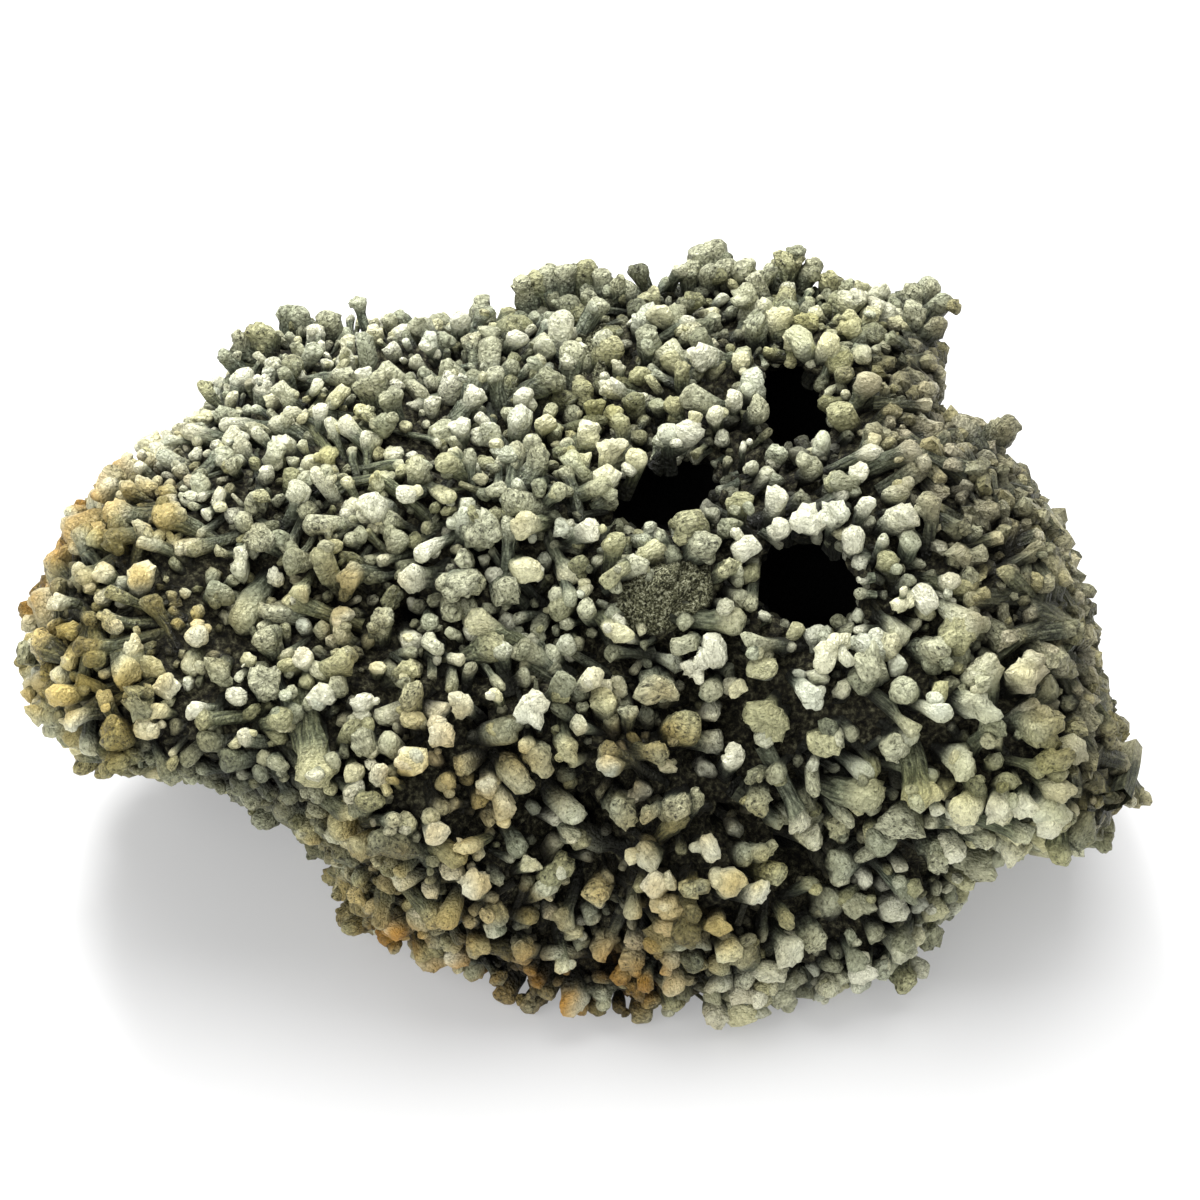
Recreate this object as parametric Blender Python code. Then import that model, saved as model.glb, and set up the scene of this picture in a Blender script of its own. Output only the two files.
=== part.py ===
"""Prehnite specimen: a porous boulder of finger-shaped crystals grown together, on a flat base.

The boulder is laid out the way it is seen from the front, 40 degrees above the table: right,
up and toward are the directions of that view. Its outline is drawn in the plane through the
boulder's heart, worn faces close it in front, behind, above and below, and crystal fingers
stand on it, each on its own patch of the surface. Three deep vugs open to the front.
"""

import math

import bmesh
import bpy
import numpy as np
from mathutils import Matrix, Vector

MM = 0.001

# Driving dimensions, in millimetres
HEART = np.array([-0.1, -2.39, 60.0])
VIEW_DISTANCE = 900.0
VIEW_ELEVATION = math.radians(40.0)
FINGER_RELIEF = 7.0
GROOVE_HEIGHT = 0.0
BASE_CUT = 4.0

# Directions of the view in front of the boulder
RIGHT = np.array([1.0, 0.0, 0.0])
UP = np.array([0.0, math.sin(VIEW_ELEVATION), math.cos(VIEW_ELEVATION)])
TOWARD = np.array([0.0, -math.cos(VIEW_ELEVATION), math.sin(VIEW_ELEVATION)])

# The outline seen from the front, in millimetres right of and above the heart
RIGHT_END = [(150, -38), (143, -18), (136, 8), (128, 31), (116, 49), (106, 59), (96, 62)]
TOP_EDGE = [
    (99, 75), (98, 90), (88, 97), (70, 100), (54, 106), (33, 107), (8, 102), (-12, 100),
    (-38, 92), (-75, 92), (-94, 83),
]
LEFT_END = [
    (-106, 64), (-123, 51), (-135, 34), (-146, 15), (-150, -4), (-143, -21), (-132, -31),
    (-107, -34),
]
LOWER_EDGE = [
    (-85, -44), (-68, -57), (-61, -76), (-43, -82), (-25, -93), (0, -105), (26, -103),
    (50, -104), (75, -95), (90, -79), (105, -60), (119, -55), (138, -52),
]

# Worn faces of the boulder: the way each one faces, and its distance from the heart
FACES = [
    ((-0.03, 0.0, 1.0), 63.0),
    ((0.0, -0.62, 0.78), 66.0),
    ((0.05, -1.0, 0.1), 80.0),
    ((-0.12, 1.0, 0.1), 82.0),
    ((0.9, -0.3, 0.4), 142.0),
    ((-0.8, -0.25, 0.6), 142.0),
    ((-0.62, 0.78, 0.1), 114.0),
    ((0.6, 0.8, 0.2), 122.0),
    ((-0.7, 0.1, -0.7), 118.0),
    ((0.75, 0.35, -0.6), 122.0),
    ((0.0, 0.0, -1.0), HEART[2] + BASE_CUT),
]
EDGE_SHARPNESS = 12.0

# Hollows (negative) and swells of the front: right, up, radius and rise
SWELLS = [
    (-92, 8, 16, -7), (-51, 6, 15, -6), (-1, -50, 20, -7), (62, -55, 18, -8),
    (36, -28, 20, -6), (-108, 42, 14, -6), (2, 66, 14, -5), (30, -70, 18, 5),
    (100, -38, 18, 6), (-60, 60, 22, 4), (-110, -8, 20, 4), (28, 12, 16, 4),
    (80, -74, 16, 5), (84, 62, 20, 5), (-30, -60, 20, 3), (60, 24, 14, 4),
]
WAVES = ((60.0, 2.0), (26.0, 1.1))

# Vugs: right, up, half width, half height, turn in degrees, depth
VUGS = [
    (54.5, 59.0, 9.8, 13.5, 12.0, 46.0),
    (21.0, 38.5, 14.6, 9.2, 14.0, 42.0),
    (58.5, 15.0, 13.8, 12.2, -20.0, 44.0),
]
VUG_SIDES = 10
VUG_MOUTH_CLEARANCE = 26.0

# Crystal fingers
FINGER_SPACING = 12.7
BASE_SPACING = 20.0
FINGER_HEIGHT = (6.0, 12.0)
CAP_WIDTH = (0.38, 0.50)
CAP_IN_PATCH = 0.75
DIRECTION_COUNT = 24000
SEED = 5


def unit(vectors):
    return vectors / np.linalg.norm(vectors, axis=-1, keepdims=True)


def waves(points, length, seed, count=60):
    """Smooth bumps of about unit height: waves of roughly one length that run in many directions."""
    rng = np.random.default_rng(seed)
    heading = unit(rng.normal(size=(count, 3)))
    pace = 2 * math.pi / length * rng.uniform(0.7, 1.4, (count, 1))
    phase = rng.uniform(0, 2 * math.pi, count)
    return np.sin(points @ (heading * pace).T + phase).sum(axis=1) * math.sqrt(2 / count)


def outline_radius(angle):
    """How far the outline lies from the heart at each angle of the view."""
    points = np.array(RIGHT_END + TOP_EDGE + LEFT_END + LOWER_EDGE, float)
    angles = np.arctan2(points[:, 1], points[:, 0])
    return np.interp(angle, angles, np.hypot(points[:, 0], points[:, 1]), period=2 * math.pi)


def boulder_radius(directions):
    """The boulder's reach from its heart in each direction, without the fingers."""
    right, up, toward = directions @ RIGHT, directions @ UP, directions @ TOWARD
    reach = outline_radius(np.arctan2(up, right)) - FINGER_RELIEF
    rim = np.maximum(np.hypot(right, up) / reach + toward / VIEW_DISTANCE, 0)
    terms = [rim]
    for facing, distance in FACES:
        terms.append(np.maximum(directions @ unit(np.array(facing)), 0) / distance)
    radius = sum(term**EDGE_SHARPNESS for term in terms) ** (-1 / EDGE_SHARPNESS)
    inside_rim = np.clip(1.4 - (rim * radius) ** 4, 0, 1)
    return radius + inside_rim * relief(directions * radius[:, None])


def relief(points):
    """Hollows and swells, in millimetres, at points given from the heart."""
    right, up, toward = points @ RIGHT, points @ UP, points @ TOWARD
    height = sum(rise * waves(points, length, SEED) for length, rise in WAVES)
    in_front = 1 / (1 + np.exp(-(toward - 10) / 8))
    for at_right, at_up, radius, rise in SWELLS:
        away = ((right - at_right) ** 2 + (up - at_up) ** 2) / radius**2
        height += rise * np.exp(-away) * in_front
    return height


def surface(directions):
    """Points of the boulder's surface in those directions, in millimetres."""
    return HEART + directions * boulder_radius(directions)[:, None]


def surface_facing(directions, step=0.02):
    """The way the surface faces in those directions."""
    side = unit(np.cross(directions, [0.31, 0.17, 0.93]))
    other = np.cross(directions, side)
    along = surface(unit(directions + side * step)) - surface(unit(directions - side * step))
    across = surface(unit(directions + other * step)) - surface(unit(directions - other * step))
    facing = unit(np.cross(along, across))
    return facing * np.sign(np.sum(facing * directions, axis=1, keepdims=True))


def even_directions(count):
    """Directions spread evenly all round, on a spiral from pole to pole."""
    step = np.arange(count) + 0.5
    height = 1 - 2 * step / count
    turn = math.pi * (1 + math.sqrt(5)) * step
    ring = np.sqrt(1 - height**2)
    return np.stack([ring * np.cos(turn), ring * np.sin(turn), height], axis=1)


def vug_mouth(vug):
    """The point of the surface at the middle of a vug's mouth, and the way the vug runs in."""
    at_right, at_up = vug[0], vug[1]
    ray = HEART + RIGHT * at_right + UP * at_up
    steps = np.linspace(VIEW_DISTANCE / 6, 0, 400)
    eye = HEART + TOWARD * VIEW_DISTANCE
    heading = unit(ray - eye)
    points = ray - heading * steps[:, None]
    away = points - HEART
    outside = np.linalg.norm(away, axis=1) - boulder_radius(unit(away))
    return points[np.argmax(outside < 0)], heading


def in_vug(points, margin):
    """Which points stand over a vug's mouth, with a margin in millimetres."""
    eye = HEART + TOWARD * VIEW_DISTANCE
    from_eye = points - eye
    depth = -(from_eye @ TOWARD)
    right = from_eye @ RIGHT * VIEW_DISTANCE / depth
    up = from_eye @ UP * VIEW_DISTANCE / depth
    found = np.zeros(len(points), bool)
    for at_right, at_up, wide, high, turn, _ in VUGS:
        turn = math.radians(turn)
        along = (right - at_right) * math.cos(turn) + (up - at_up) * math.sin(turn)
        across = (up - at_up) * math.cos(turn) - (right - at_right) * math.sin(turn)
        found |= (along / (wide + margin)) ** 2 + (across / (high + margin)) ** 2 < 1
    return found & ((points - HEART) @ TOWARD > 0)


def spaced_out(points, spacing):
    """Indices of points picked in turn, none nearer to an earlier one than its spacing."""
    order = np.random.default_rng(SEED).permutation(len(points))
    kept = []
    for index in order:
        near = points[kept] - points[index]
        if not kept or (np.sum(near**2, axis=1) > spacing[index] ** 2).all():
            kept.append(index)
    return np.array(kept)


def main_fingers():
    """Direction, foot, tip and cap radius of each main finger. One on the base has no height."""
    directions = even_directions(DIRECTION_COUNT)
    feet = surface(directions)
    on_base = feet[:, 2] < 2.0
    keep = ~in_vug(feet, 2.0)
    directions, feet, on_base = directions[keep], feet[keep], on_base[keep]
    spacing = np.where(on_base, BASE_SPACING, FINGER_SPACING)
    picked = spaced_out(feet, spacing)
    directions, feet, on_base = directions[picked], feet[picked], on_base[picked]
    rng = np.random.default_rng(SEED + 1)
    count = len(directions)
    leaning = 0.16 * rng.normal(size=(count, 3))
    heading = unit(0.45 * surface_facing(directions) + 0.55 * directions + leaning)
    height = rng.uniform(*FINGER_HEIGHT, count) * ~on_base
    cap = rng.uniform(*CAP_WIDTH, count) * FINGER_SPACING
    return directions, feet, feet + heading * height[:, None], cap


def cell_corners(directions):
    """Corner directions of the patches round the given directions, and each patch's corners in order."""
    hull = bmesh.new()
    verts = [hull.verts.new(direction) for direction in directions]
    bmesh.ops.convex_hull(hull, input=verts)
    hull.faces.index_update()
    corners = [face.calc_center_median().normalized() for face in hull.faces]
    cells = []
    for vert in verts:
        axis = vert.co.normalized()
        side = axis.orthogonal().normalized()
        other = axis.cross(side)
        faces = sorted(
            vert.link_faces,
            key=lambda face: math.atan2(corners[face.index] @ other, corners[face.index] @ side),
        )
        cells.append([face.index for face in faces])
    hull.free()
    return np.array([list(corner) for corner in corners]), cells


def finger_boulder():
    """The boulder's mesh with a finger on each patch, before the vugs and the base are cut."""
    directions, feet, tips, caps = main_fingers()
    corner_directions, cells = cell_corners(directions)
    grooves = surface(corner_directions) + corner_directions * GROOVE_HEIGHT
    bm = bmesh.new()
    groove_verts = [bm.verts.new(point * MM) for point in grooves]
    for foot, tip, cap, cell in zip(feet, tips, caps, cells):
        grow_finger(bm, foot, tip, cap, cell, grooves, groove_verts)
    bmesh.ops.recalc_face_normals(bm, faces=bm.faces)
    bmesh.ops.triangulate(bm, faces=bm.faces, quad_method="SHORT_EDGE")
    mesh = bpy.data.meshes.new("prehnite")
    bm.to_mesh(mesh)
    bm.free()
    return mesh


def grow_finger(bm, foot, tip, cap, cell, grooves, groove_verts):
    """One finger: walls that lean in from its patch's corners to its cap, and a low pyramid on top."""
    count = len(cell)
    height = np.linalg.norm(tip - foot)
    apex = bm.verts.new(tip * MM)
    ring = [groove_verts[corner] for corner in cell]
    if height > 0:
        axis = (tip - foot) / height
        shoulder = tip - axis * cap * 0.4
        inner = []
        for corner in cell:
            spoke = grooves[corner] - foot
            spoke -= axis * (spoke @ axis)
            reach = np.linalg.norm(spoke)
            inner.append(bm.verts.new((shoulder + spoke * min(cap / reach, CAP_IN_PATCH)) * MM))
        for near in range(count):
            far = (near + 1) % count
            bm.faces.new((ring[near], ring[far], inner[far], inner[near]))
        ring = inner
    for near in range(count):
        bm.faces.new((ring[near], ring[(near + 1) % count], apex))


def vug_cutter(number, vug):
    """A helper solid with a vug's shape: it starts clear of the fingers and closes at its depth."""
    _, _, wide, high, turn, depth = vug
    mouth, heading = vug_mouth(vug)
    turn = math.radians(turn)
    along = RIGHT * math.cos(turn) + UP * math.sin(turn)
    across = UP * math.cos(turn) - RIGHT * math.sin(turn)
    rng = np.random.default_rng(SEED + number)
    uneven = rng.uniform(0.85, 1.12, VUG_SIDES)
    bm = bmesh.new()
    rings = []
    mouth_share = -VUG_MOUTH_CLEARANCE / depth
    for share, scale in ((mouth_share, 1.1), (0.0, 1.0), (0.5, 1.0), (0.85, 0.8), (1.0, 0.35)):
        ring = []
        for side in range(VUG_SIDES):
            angle = 2 * math.pi * side / VUG_SIDES
            offset = along * wide * math.cos(angle) + across * high * math.sin(angle)
            point = mouth + heading * depth * share + offset * scale * uneven[side]
            ring.append(bm.verts.new(point * MM))
        rings.append(ring)
    for outer, inner in zip(rings, rings[1:]):
        for near in range(VUG_SIDES):
            far = (near + 1) % VUG_SIDES
            bm.faces.new((outer[near], outer[far], inner[far], inner[near]))
    bm.faces.new(rings[0])
    bm.faces.new(rings[-1])
    bmesh.ops.recalc_face_normals(bm, faces=bm.faces)
    bmesh.ops.triangulate(bm, faces=bm.faces)
    mesh = bpy.data.meshes.new(f"vug_cutter_{number}")
    bm.to_mesh(mesh)
    bm.free()
    return helper(mesh)


def base_cutter():
    """A helper box under the table plane, which cuts the flat base."""
    bm = bmesh.new()
    bmesh.ops.create_cube(bm, size=1.0)
    size = Vector((400.0, 300.0, 60.0)) * MM
    bmesh.ops.transform(bm, matrix=Matrix.Diagonal(size.to_4d()), verts=bm.verts)
    bmesh.ops.translate(bm, vec=(0, 0, -size.z / 2), verts=bm.verts)
    mesh = bpy.data.meshes.new("base_cutter")
    bm.to_mesh(mesh)
    bm.free()
    return helper(mesh)


def helper(mesh):
    """An object that only cuts, and isn't part of the specimen."""
    cutter = bpy.data.objects.new(mesh.name, mesh)
    bpy.context.scene.collection.objects.link(cutter)
    cutter.hide_render = True
    cutter.display_type = "WIRE"
    return cutter


def crystal_material():
    """Waxy grey-green prehnite."""
    material = bpy.data.materials.new("prehnite")
    material.use_nodes = True
    shader = material.node_tree.nodes["Principled BSDF"]
    shader.inputs["Base Color"].default_value = (0.36, 0.37, 0.25, 1.0)
    shader.inputs["Roughness"].default_value = 0.55
    shader.inputs["Metallic"].default_value = 0.0
    return material


def specimen():
    mesh = finger_boulder()
    mesh.materials.append(crystal_material())
    prehnite = bpy.data.objects.new("prehnite", mesh)
    bpy.context.scene.collection.objects.link(prehnite)
    cutters = [vug_cutter(number, vug) for number, vug in enumerate(VUGS)]
    cutters.append(base_cutter())
    for cutter in cutters:
        cut = prehnite.modifiers.new(cutter.name, "BOOLEAN")
        cut.operation = "DIFFERENCE"
        cut.object = cutter
        cut.use_self = True
    return prehnite


for leftover in list(bpy.data.objects):
    bpy.data.objects.remove(leftover)
specimen()
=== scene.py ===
"""Looks of the prehnite specimen: a dark crust grown over with pale blunt crystal fingers.

Lengths are in millimetres until a mesh is made. Right, up and toward are the directions of the
photograph's view. The boulder under the fingers is the one that the CAD solid is built on.
"""

import math

import bmesh
import bpy
import numpy as np
from mathutils import Matrix, Vector


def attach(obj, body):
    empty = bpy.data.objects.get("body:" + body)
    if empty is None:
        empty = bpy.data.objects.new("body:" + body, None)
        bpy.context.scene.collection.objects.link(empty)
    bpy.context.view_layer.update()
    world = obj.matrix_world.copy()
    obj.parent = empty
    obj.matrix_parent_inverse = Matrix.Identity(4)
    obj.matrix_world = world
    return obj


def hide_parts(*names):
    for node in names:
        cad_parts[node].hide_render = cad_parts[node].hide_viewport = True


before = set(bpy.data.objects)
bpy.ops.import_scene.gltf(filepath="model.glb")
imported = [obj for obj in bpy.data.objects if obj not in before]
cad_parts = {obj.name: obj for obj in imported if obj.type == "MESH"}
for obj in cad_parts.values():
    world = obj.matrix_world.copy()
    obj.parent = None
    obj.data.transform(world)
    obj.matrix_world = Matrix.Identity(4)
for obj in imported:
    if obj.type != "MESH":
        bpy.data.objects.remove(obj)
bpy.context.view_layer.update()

MM = 0.001
BODY = "root"
NODE = "prehnite"

# View of the photograph
HEART = np.array([-0.1, -2.39, 60.0])
VIEW_DISTANCE = 900.0
VIEW_ELEVATION = math.radians(40.0)
RIGHT = np.array([1.0, 0.0, 0.0])
UP = np.array([0.0, math.sin(VIEW_ELEVATION), math.cos(VIEW_ELEVATION)])
TOWARD = np.array([0.0, -math.cos(VIEW_ELEVATION), math.sin(VIEW_ELEVATION)])
HEART_PIXEL = (585.0, 640.0)
MM_PER_PIXEL = 0.262
PHOTO_SIZE = 1200

# The boulder: its outline seen from the front, right of and above the heart
RIGHT_END = [(150, -38), (143, -18), (136, 8), (128, 31), (116, 49), (106, 59), (96, 62)]
TOP_EDGE = [
    (99, 75), (98, 90), (88, 97), (70, 100), (54, 106), (33, 107), (8, 102), (-12, 100),
    (-38, 92), (-75, 92), (-94, 83),
]
LEFT_END = [
    (-106, 64), (-123, 51), (-135, 34), (-146, 15), (-150, -4), (-143, -21), (-132, -31),
    (-107, -34),
]
LOWER_EDGE = [
    (-85, -44), (-68, -57), (-61, -76), (-43, -82), (-25, -93), (0, -105), (26, -103),
    (50, -104), (75, -95), (90, -79), (105, -60), (119, -55), (138, -52),
]
FINGER_RELIEF = 7.0
BASE_CUT = 4.0

# Worn faces of the boulder: the way each one faces, and its distance from the heart
FACES = [
    ((-0.03, 0.0, 1.0), 63.0),
    ((0.0, -0.62, 0.78), 66.0),
    ((0.05, -1.0, 0.1), 80.0),
    ((-0.12, 1.0, 0.1), 82.0),
    ((0.9, -0.3, 0.4), 142.0),
    ((-0.8, -0.25, 0.6), 142.0),
    ((-0.62, 0.78, 0.1), 114.0),
    ((0.6, 0.8, 0.2), 122.0),
    ((-0.7, 0.1, -0.7), 118.0),
    ((0.75, 0.35, -0.6), 122.0),
    ((0.0, 0.0, -1.0), HEART[2] + BASE_CUT),
]
EDGE_SHARPNESS = 12.0

# Hollows (negative) and swells of the front: right, up, radius and rise
SWELLS = [
    (-92, 8, 16, -7), (-51, 6, 15, -6), (-1, -50, 20, -7), (62, -55, 18, -8),
    (36, -28, 20, -6), (-108, 42, 14, -6), (2, 66, 14, -5), (30, -70, 18, 5),
    (100, -38, 18, 6), (-60, 60, 22, 4), (-110, -8, 20, 4), (28, 12, 16, 4),
    (80, -74, 16, 5), (84, 62, 20, 5), (-30, -60, 20, 3), (60, 24, 14, 4),
]
WAVES = ((60.0, 2.0), (26.0, 1.1))
WAVE_SEED = 5

# Vugs: right, up, half width, half height, turn in degrees, depth
VUGS = [
    (54.5, 59.0, 9.8, 13.5, 12.0, 44.0),
    (21.0, 38.5, 14.6, 9.2, 14.0, 40.0),
    (58.5, 15.0, 13.8, 12.2, -20.0, 42.0),
]
VUG_GAPE = 1.12
VUG_START = 6.0

# Fingers on the walls of the vugs, near their mouths: how far apart, and how deep they go
LINING_SPACING = 3.4
LINING_DEPTH = 13.0
LINING_TRIES = 700
LINING_LENGTH = (1.0, 4.5)
LINING_CAP = (1.2, 2.4)
LINING_ROOT = 3.0
# Painted shade: shaded as if standing this far out of the crust at the mouth, less for each millimetre down
LINING_HEIGHT = 3.5
LINING_FADE = 0.55

# Crust patches without fingers: right, up, half width, half height, turn in degrees
BARE_PATCHES = [(21.5, 12.5, 13.5, 9.0, 25.0), (4.0, 79.0, 11.0, 4.5, 60.0)]

# Dark hollows between the fingers: right, up, radius
HOLLOWS = [
    (-1, -49, 5.5), (61, -56, 7), (35, -28, 5), (-90, 9, 5), (-52, 7, 4.5), (-108, 42, 4), (3, 66, 4),
    (-22, 30, 3.5), (-70, 45, 3), (-30, -22, 3.5), (88, 4, 3.5), (20, -62, 4), (-66, -20, 3), (100, -2, 4),
    (40, -50, 4), (-12, 8, 3), (74, 36, 3.5),
]

# Crystal fingers: how far apart they stand, how tall and thick they are, the sides and cap rings of
# their meshes, and which part of the boulder they grow on
SEED = 11
DIRECTION_COUNT = 110000
CRUST_DROP = 4.0
HOLLOW_DROP = 9.0
BASE_MARGIN = 3.0
FRONT, DARK_SIDE, EVERYWHERE = "front", "dark side", "everywhere"
FINGER_KINDS = {
    "large": {"spacing": 8.3, "height": (3.5, 8.5), "cap": (2.6, 4.3), "mesh": (13, 6), "on": FRONT},
    "middle": {"spacing": 5.5, "height": (1.0, 7.0), "cap": (2.0, 3.2), "mesh": (11, 5), "on": FRONT},
    "small": {"spacing": 3.9, "height": (-1.0, 4.6), "cap": (1.3, 2.4), "mesh": (7, 4), "on": FRONT},
    "blocky": {"spacing": 5.6, "height": (-0.5, 4.5), "cap": (1.8, 4.0), "mesh": (7, 3), "on": DARK_SIDE},
    "gritty": {"spacing": 3.7, "height": (-1.5, 4.0), "cap": (1.3, 2.6), "mesh": (6, 3), "on": DARK_SIDE},
    "grains": {"spacing": 3.0, "height": (-3.0, 2.0), "cap": (1.0, 1.9), "mesh": (5, 3), "on": EVERYWHERE},
}
PLAIN_CAP_RINGS = 3

# Caps that stand out in the photograph: x, y and half width in its pixels, how many times
# longer than wide, and the way it points in degrees, 0 being right and 90 up
PROMINENT_CAPS = {
    "bright": [
        (704, 358, 11, 1.9, 215), (657, 317, 11, 1.5, 170), (780, 319, 13, 1.2, 80), (801, 342, 17, 1.2, 200),
        (828, 347, 15, 1.2, 330), (742, 361, 10, 1.3, 250), (734, 399, 12, 1.0, 60), (717, 414, 9, 1.0, 200),
        (690, 433, 13, 1.4, 320), (668, 431, 11, 1.0, 160), (744, 443, 6, 1.0, 270), (613, 449, 15, 1.1, 90),
        (636, 456, 10, 1.2, 300), (609, 474, 12, 1.4, 250), (619, 365, 9, 1.0, 90), (613, 389, 11, 1.6, 215),
        (778, 499, 12, 1.6, 35), (749, 543, 13, 1.4, 260), (784, 524, 10, 1.0, 180), (808, 518, 15, 1.1, 120),
        (835, 514, 15, 1.1, 80), (854, 534, 13, 1.1, 300), (868, 505, 9, 1.4, 60), (617, 627, 11, 1.5, 325),
        (715, 643, 17, 1.1, 80), (696, 666, 11, 1.3, 225), (738, 685, 9, 1.2, 30), (837, 643, 15, 1.1, 60),
        (828, 656, 12, 1.0, 250), (814, 690, 11, 1.6, 335), (734, 754, 10, 1.5, 75), (611, 761, 11, 1.5, 160),
        (905, 600, 11, 1.2, 200), (927, 595, 13, 1.5, 210), (951, 581, 10, 1.3, 30), (937, 709, 12, 1.6, 345),
        (978, 703, 17, 1.4, 340), (1027, 671, 18, 1.1, 70), (929, 788, 15, 1.3, 20), (960, 760, 14, 1.3, 10),
        (966, 805, 16, 1.2, 220), (1000, 807, 15, 1.1, 270), (1023, 803, 12, 1.0, 270),
        (1051, 809, 18, 1.1, 280), (1060, 786, 16, 1.1, 330), (1074, 748, 15, 1.1, 30),
        (955, 844, 12, 1.5, 325), (367, 697, 10, 1.2, 60), (463, 699, 12, 1.3, 150), (439, 732, 12, 1.1, 240),
        (495, 690, 7, 1.0, 90), (535, 703, 14, 1.1, 220), (591, 675, 9, 1.7, 20), (504, 801, 11, 1.6, 305),
        (439, 828, 12, 1.2, 260), (465, 842, 9, 1.9, 175), (477, 880, 13, 1.3, 100), (756, 892, 12, 1.1, 350),
        (731, 877, 14, 1.0, 90), (714, 1014, 12, 1.1, 260), (571, 1000, 12, 1.3, 260),
        (710, 842, 13, 1.0, 40), (645, 852, 13, 1.1, 190), (658, 882, 12, 1.3, 110), (789, 947, 14, 1.2, 280),
        (520, 418, 14, 1.2, 100), (543, 425, 10, 1.5, 280), (592, 433, 11, 1.4, 10), (463, 425, 10, 1.1, 90),
        (411, 492, 11, 1.2, 250), (432, 545, 11, 2.0, 245), (414, 574, 12, 1.4, 240),
        (527, 524, 11, 1.4, 190), (529, 566, 13, 1.3, 300), (589, 527, 10, 1.5, 0), (345, 615, 9, 1.6, 80),
        (430, 342, 10, 1.2, 220), (456, 322, 9, 1.2, 200), (519, 338, 11, 1.2, 300), (526, 396, 9, 1.3, 110),
        (322, 410, 7, 1.4, 90), (304, 655, 11, 1.1, 200), (140, 575, 14, 1.2, 90), (102, 572, 10, 1.1, 200),
        (200, 632, 10, 1.7, 260), (59, 601, 7, 1.7, 180), (135, 642, 11, 1.0, 160), (167, 684, 11, 1.3, 250),
        (62, 692, 15, 1.2, 170), (77, 717, 9, 1.7, 180), (161, 708, 7, 1.6, 180), (156, 728, 8, 1.3, 330),
    ],
    "grey": [
        (696, 400, 12, 1.8, 218), (648, 338, 11, 1.5, 110), (746, 301, 15, 1.1, 250),
        (847, 416, 15, 1.5, 350), (759, 408, 12, 1.2, 270), (673, 403, 9, 1.0, 200), (684, 370, 9, 1.3, 90),
        (623, 422, 9, 1.3, 120), (743, 501, 12, 1.1, 100), (615, 572, 12, 1.4, 255), (619, 541, 10, 1.2, 60),
        (763, 641, 10, 2.0, 180), (684, 641, 12, 1.2, 120), (713, 687, 10, 1.2, 250),
        (874, 664, 17, 1.1, 200), (770, 713, 18, 1.1, 270), (957, 631, 17, 1.2, 290),
        (906, 686, 13, 1.2, 180), (1039, 729, 15, 1.4, 320), (898, 742, 13, 1.1, 260),
        (1055, 758, 13, 1.1, 90), (341, 660, 12, 1.8, 0), (339, 681, 11, 1.4, 250), (561, 681, 11, 1.5, 25),
        (543, 756, 13, 1.2, 60), (520, 773, 15, 1.3, 350), (569, 744, 11, 1.5, 280), (362, 735, 14, 1.2, 240),
        (573, 830, 8, 1.4, 330), (787, 917, 11, 1.1, 250), (976, 862, 14, 1.2, 260), (765, 846, 10, 1.4, 80),
        (855, 957, 13, 1.2, 300), (470, 455, 9, 1.3, 100), (560, 488, 9, 1.3, 20), (447, 462, 10, 1.4, 240),
        (597, 486, 12, 1.4, 330), (382, 420, 11, 1.6, 290), (395, 396, 12, 1.1, 160), (366, 351, 12, 2.0, 85),
    ],
    "crusted": [
        (700, 258, 13, 1.1, 100), (716, 251, 12, 1.1, 80), (727, 268, 13, 1.1, 40), (689, 272, 12, 1.1, 140),
        (708, 275, 13, 1.1, 90), (745, 272, 12, 1.1, 90), (782, 261, 12, 1.1, 110), (797, 255, 11, 1.1, 80),
        (811, 270, 12, 1.1, 60), (764, 278, 12, 1.1, 120), (828, 282, 11, 1.1, 60), (845, 290, 10, 1.1, 60),
        (757, 324, 13, 1.1, 230), (688, 522, 16, 1.2, 110), (707, 543, 13, 1.1, 340), (728, 564, 11, 1.0, 40),
        (682, 723, 17, 1.1, 60), (659, 683, 15, 1.2, 250), (657, 750, 11, 1.4, 320), (939, 648, 12, 1.5, 350),
        (902, 817, 18, 1.2, 230), (939, 856, 13, 1.3, 300), (414, 691, 14, 1.1, 90), (394, 817, 8, 1.5, 20),
        (622, 808, 13, 1.4, 10), (677, 802, 12, 1.1, 180), (699, 798, 9, 1.4, 100), (760, 796, 13, 1.2, 290),
        (773, 869, 11, 1.6, 350), (813, 938, 12, 1.2, 270), (693, 882, 11, 1.1, 270),
        (483, 527, 17, 1.3, 350), (463, 582, 15, 1.3, 330), (506, 585, 12, 1.3, 260), (538, 453, 11, 1.5, 15),
        (382, 620, 12, 1.2, 60), (532, 284, 11, 1.1, 90), (547, 276, 11, 1.1, 90), (566, 274, 11, 1.1, 90),
        (585, 270, 12, 1.1, 80), (600, 279, 11, 1.1, 80), (618, 284, 10, 1.1, 80), (912, 294, 12, 1.1, 90),
        (930, 290, 12, 1.1, 70), (942, 304, 11, 1.1, 40), (938, 325, 11, 1.1, 0), (915, 314, 12, 1.1, 40),
        (300, 318, 13, 1.1, 100), (284, 316, 11, 1.1, 100), (258, 332, 12, 1.1, 110),
        (240, 340, 11, 1.1, 130), (226, 358, 10, 1.1, 140), (345, 913, 12, 1.1, 230),
        (352, 926, 10, 1.1, 240), (262, 818, 11, 1.1, 250), (84, 764, 12, 1.1, 240), (104, 770, 10, 1.1, 260),
        (505, 998, 11, 1.1, 260), (530, 1008, 10, 1.1, 260), (640, 1016, 10, 1.1, 270),
        (905, 978, 11, 1.1, 300), (370, 384, 14, 1.1, 60), (1005, 428, 15, 1.1, 60), (480, 308, 12, 1.1, 90),
        (330, 322, 13, 1.1, 90), (520, 292, 12, 1.1, 90),
    ],
}
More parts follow.
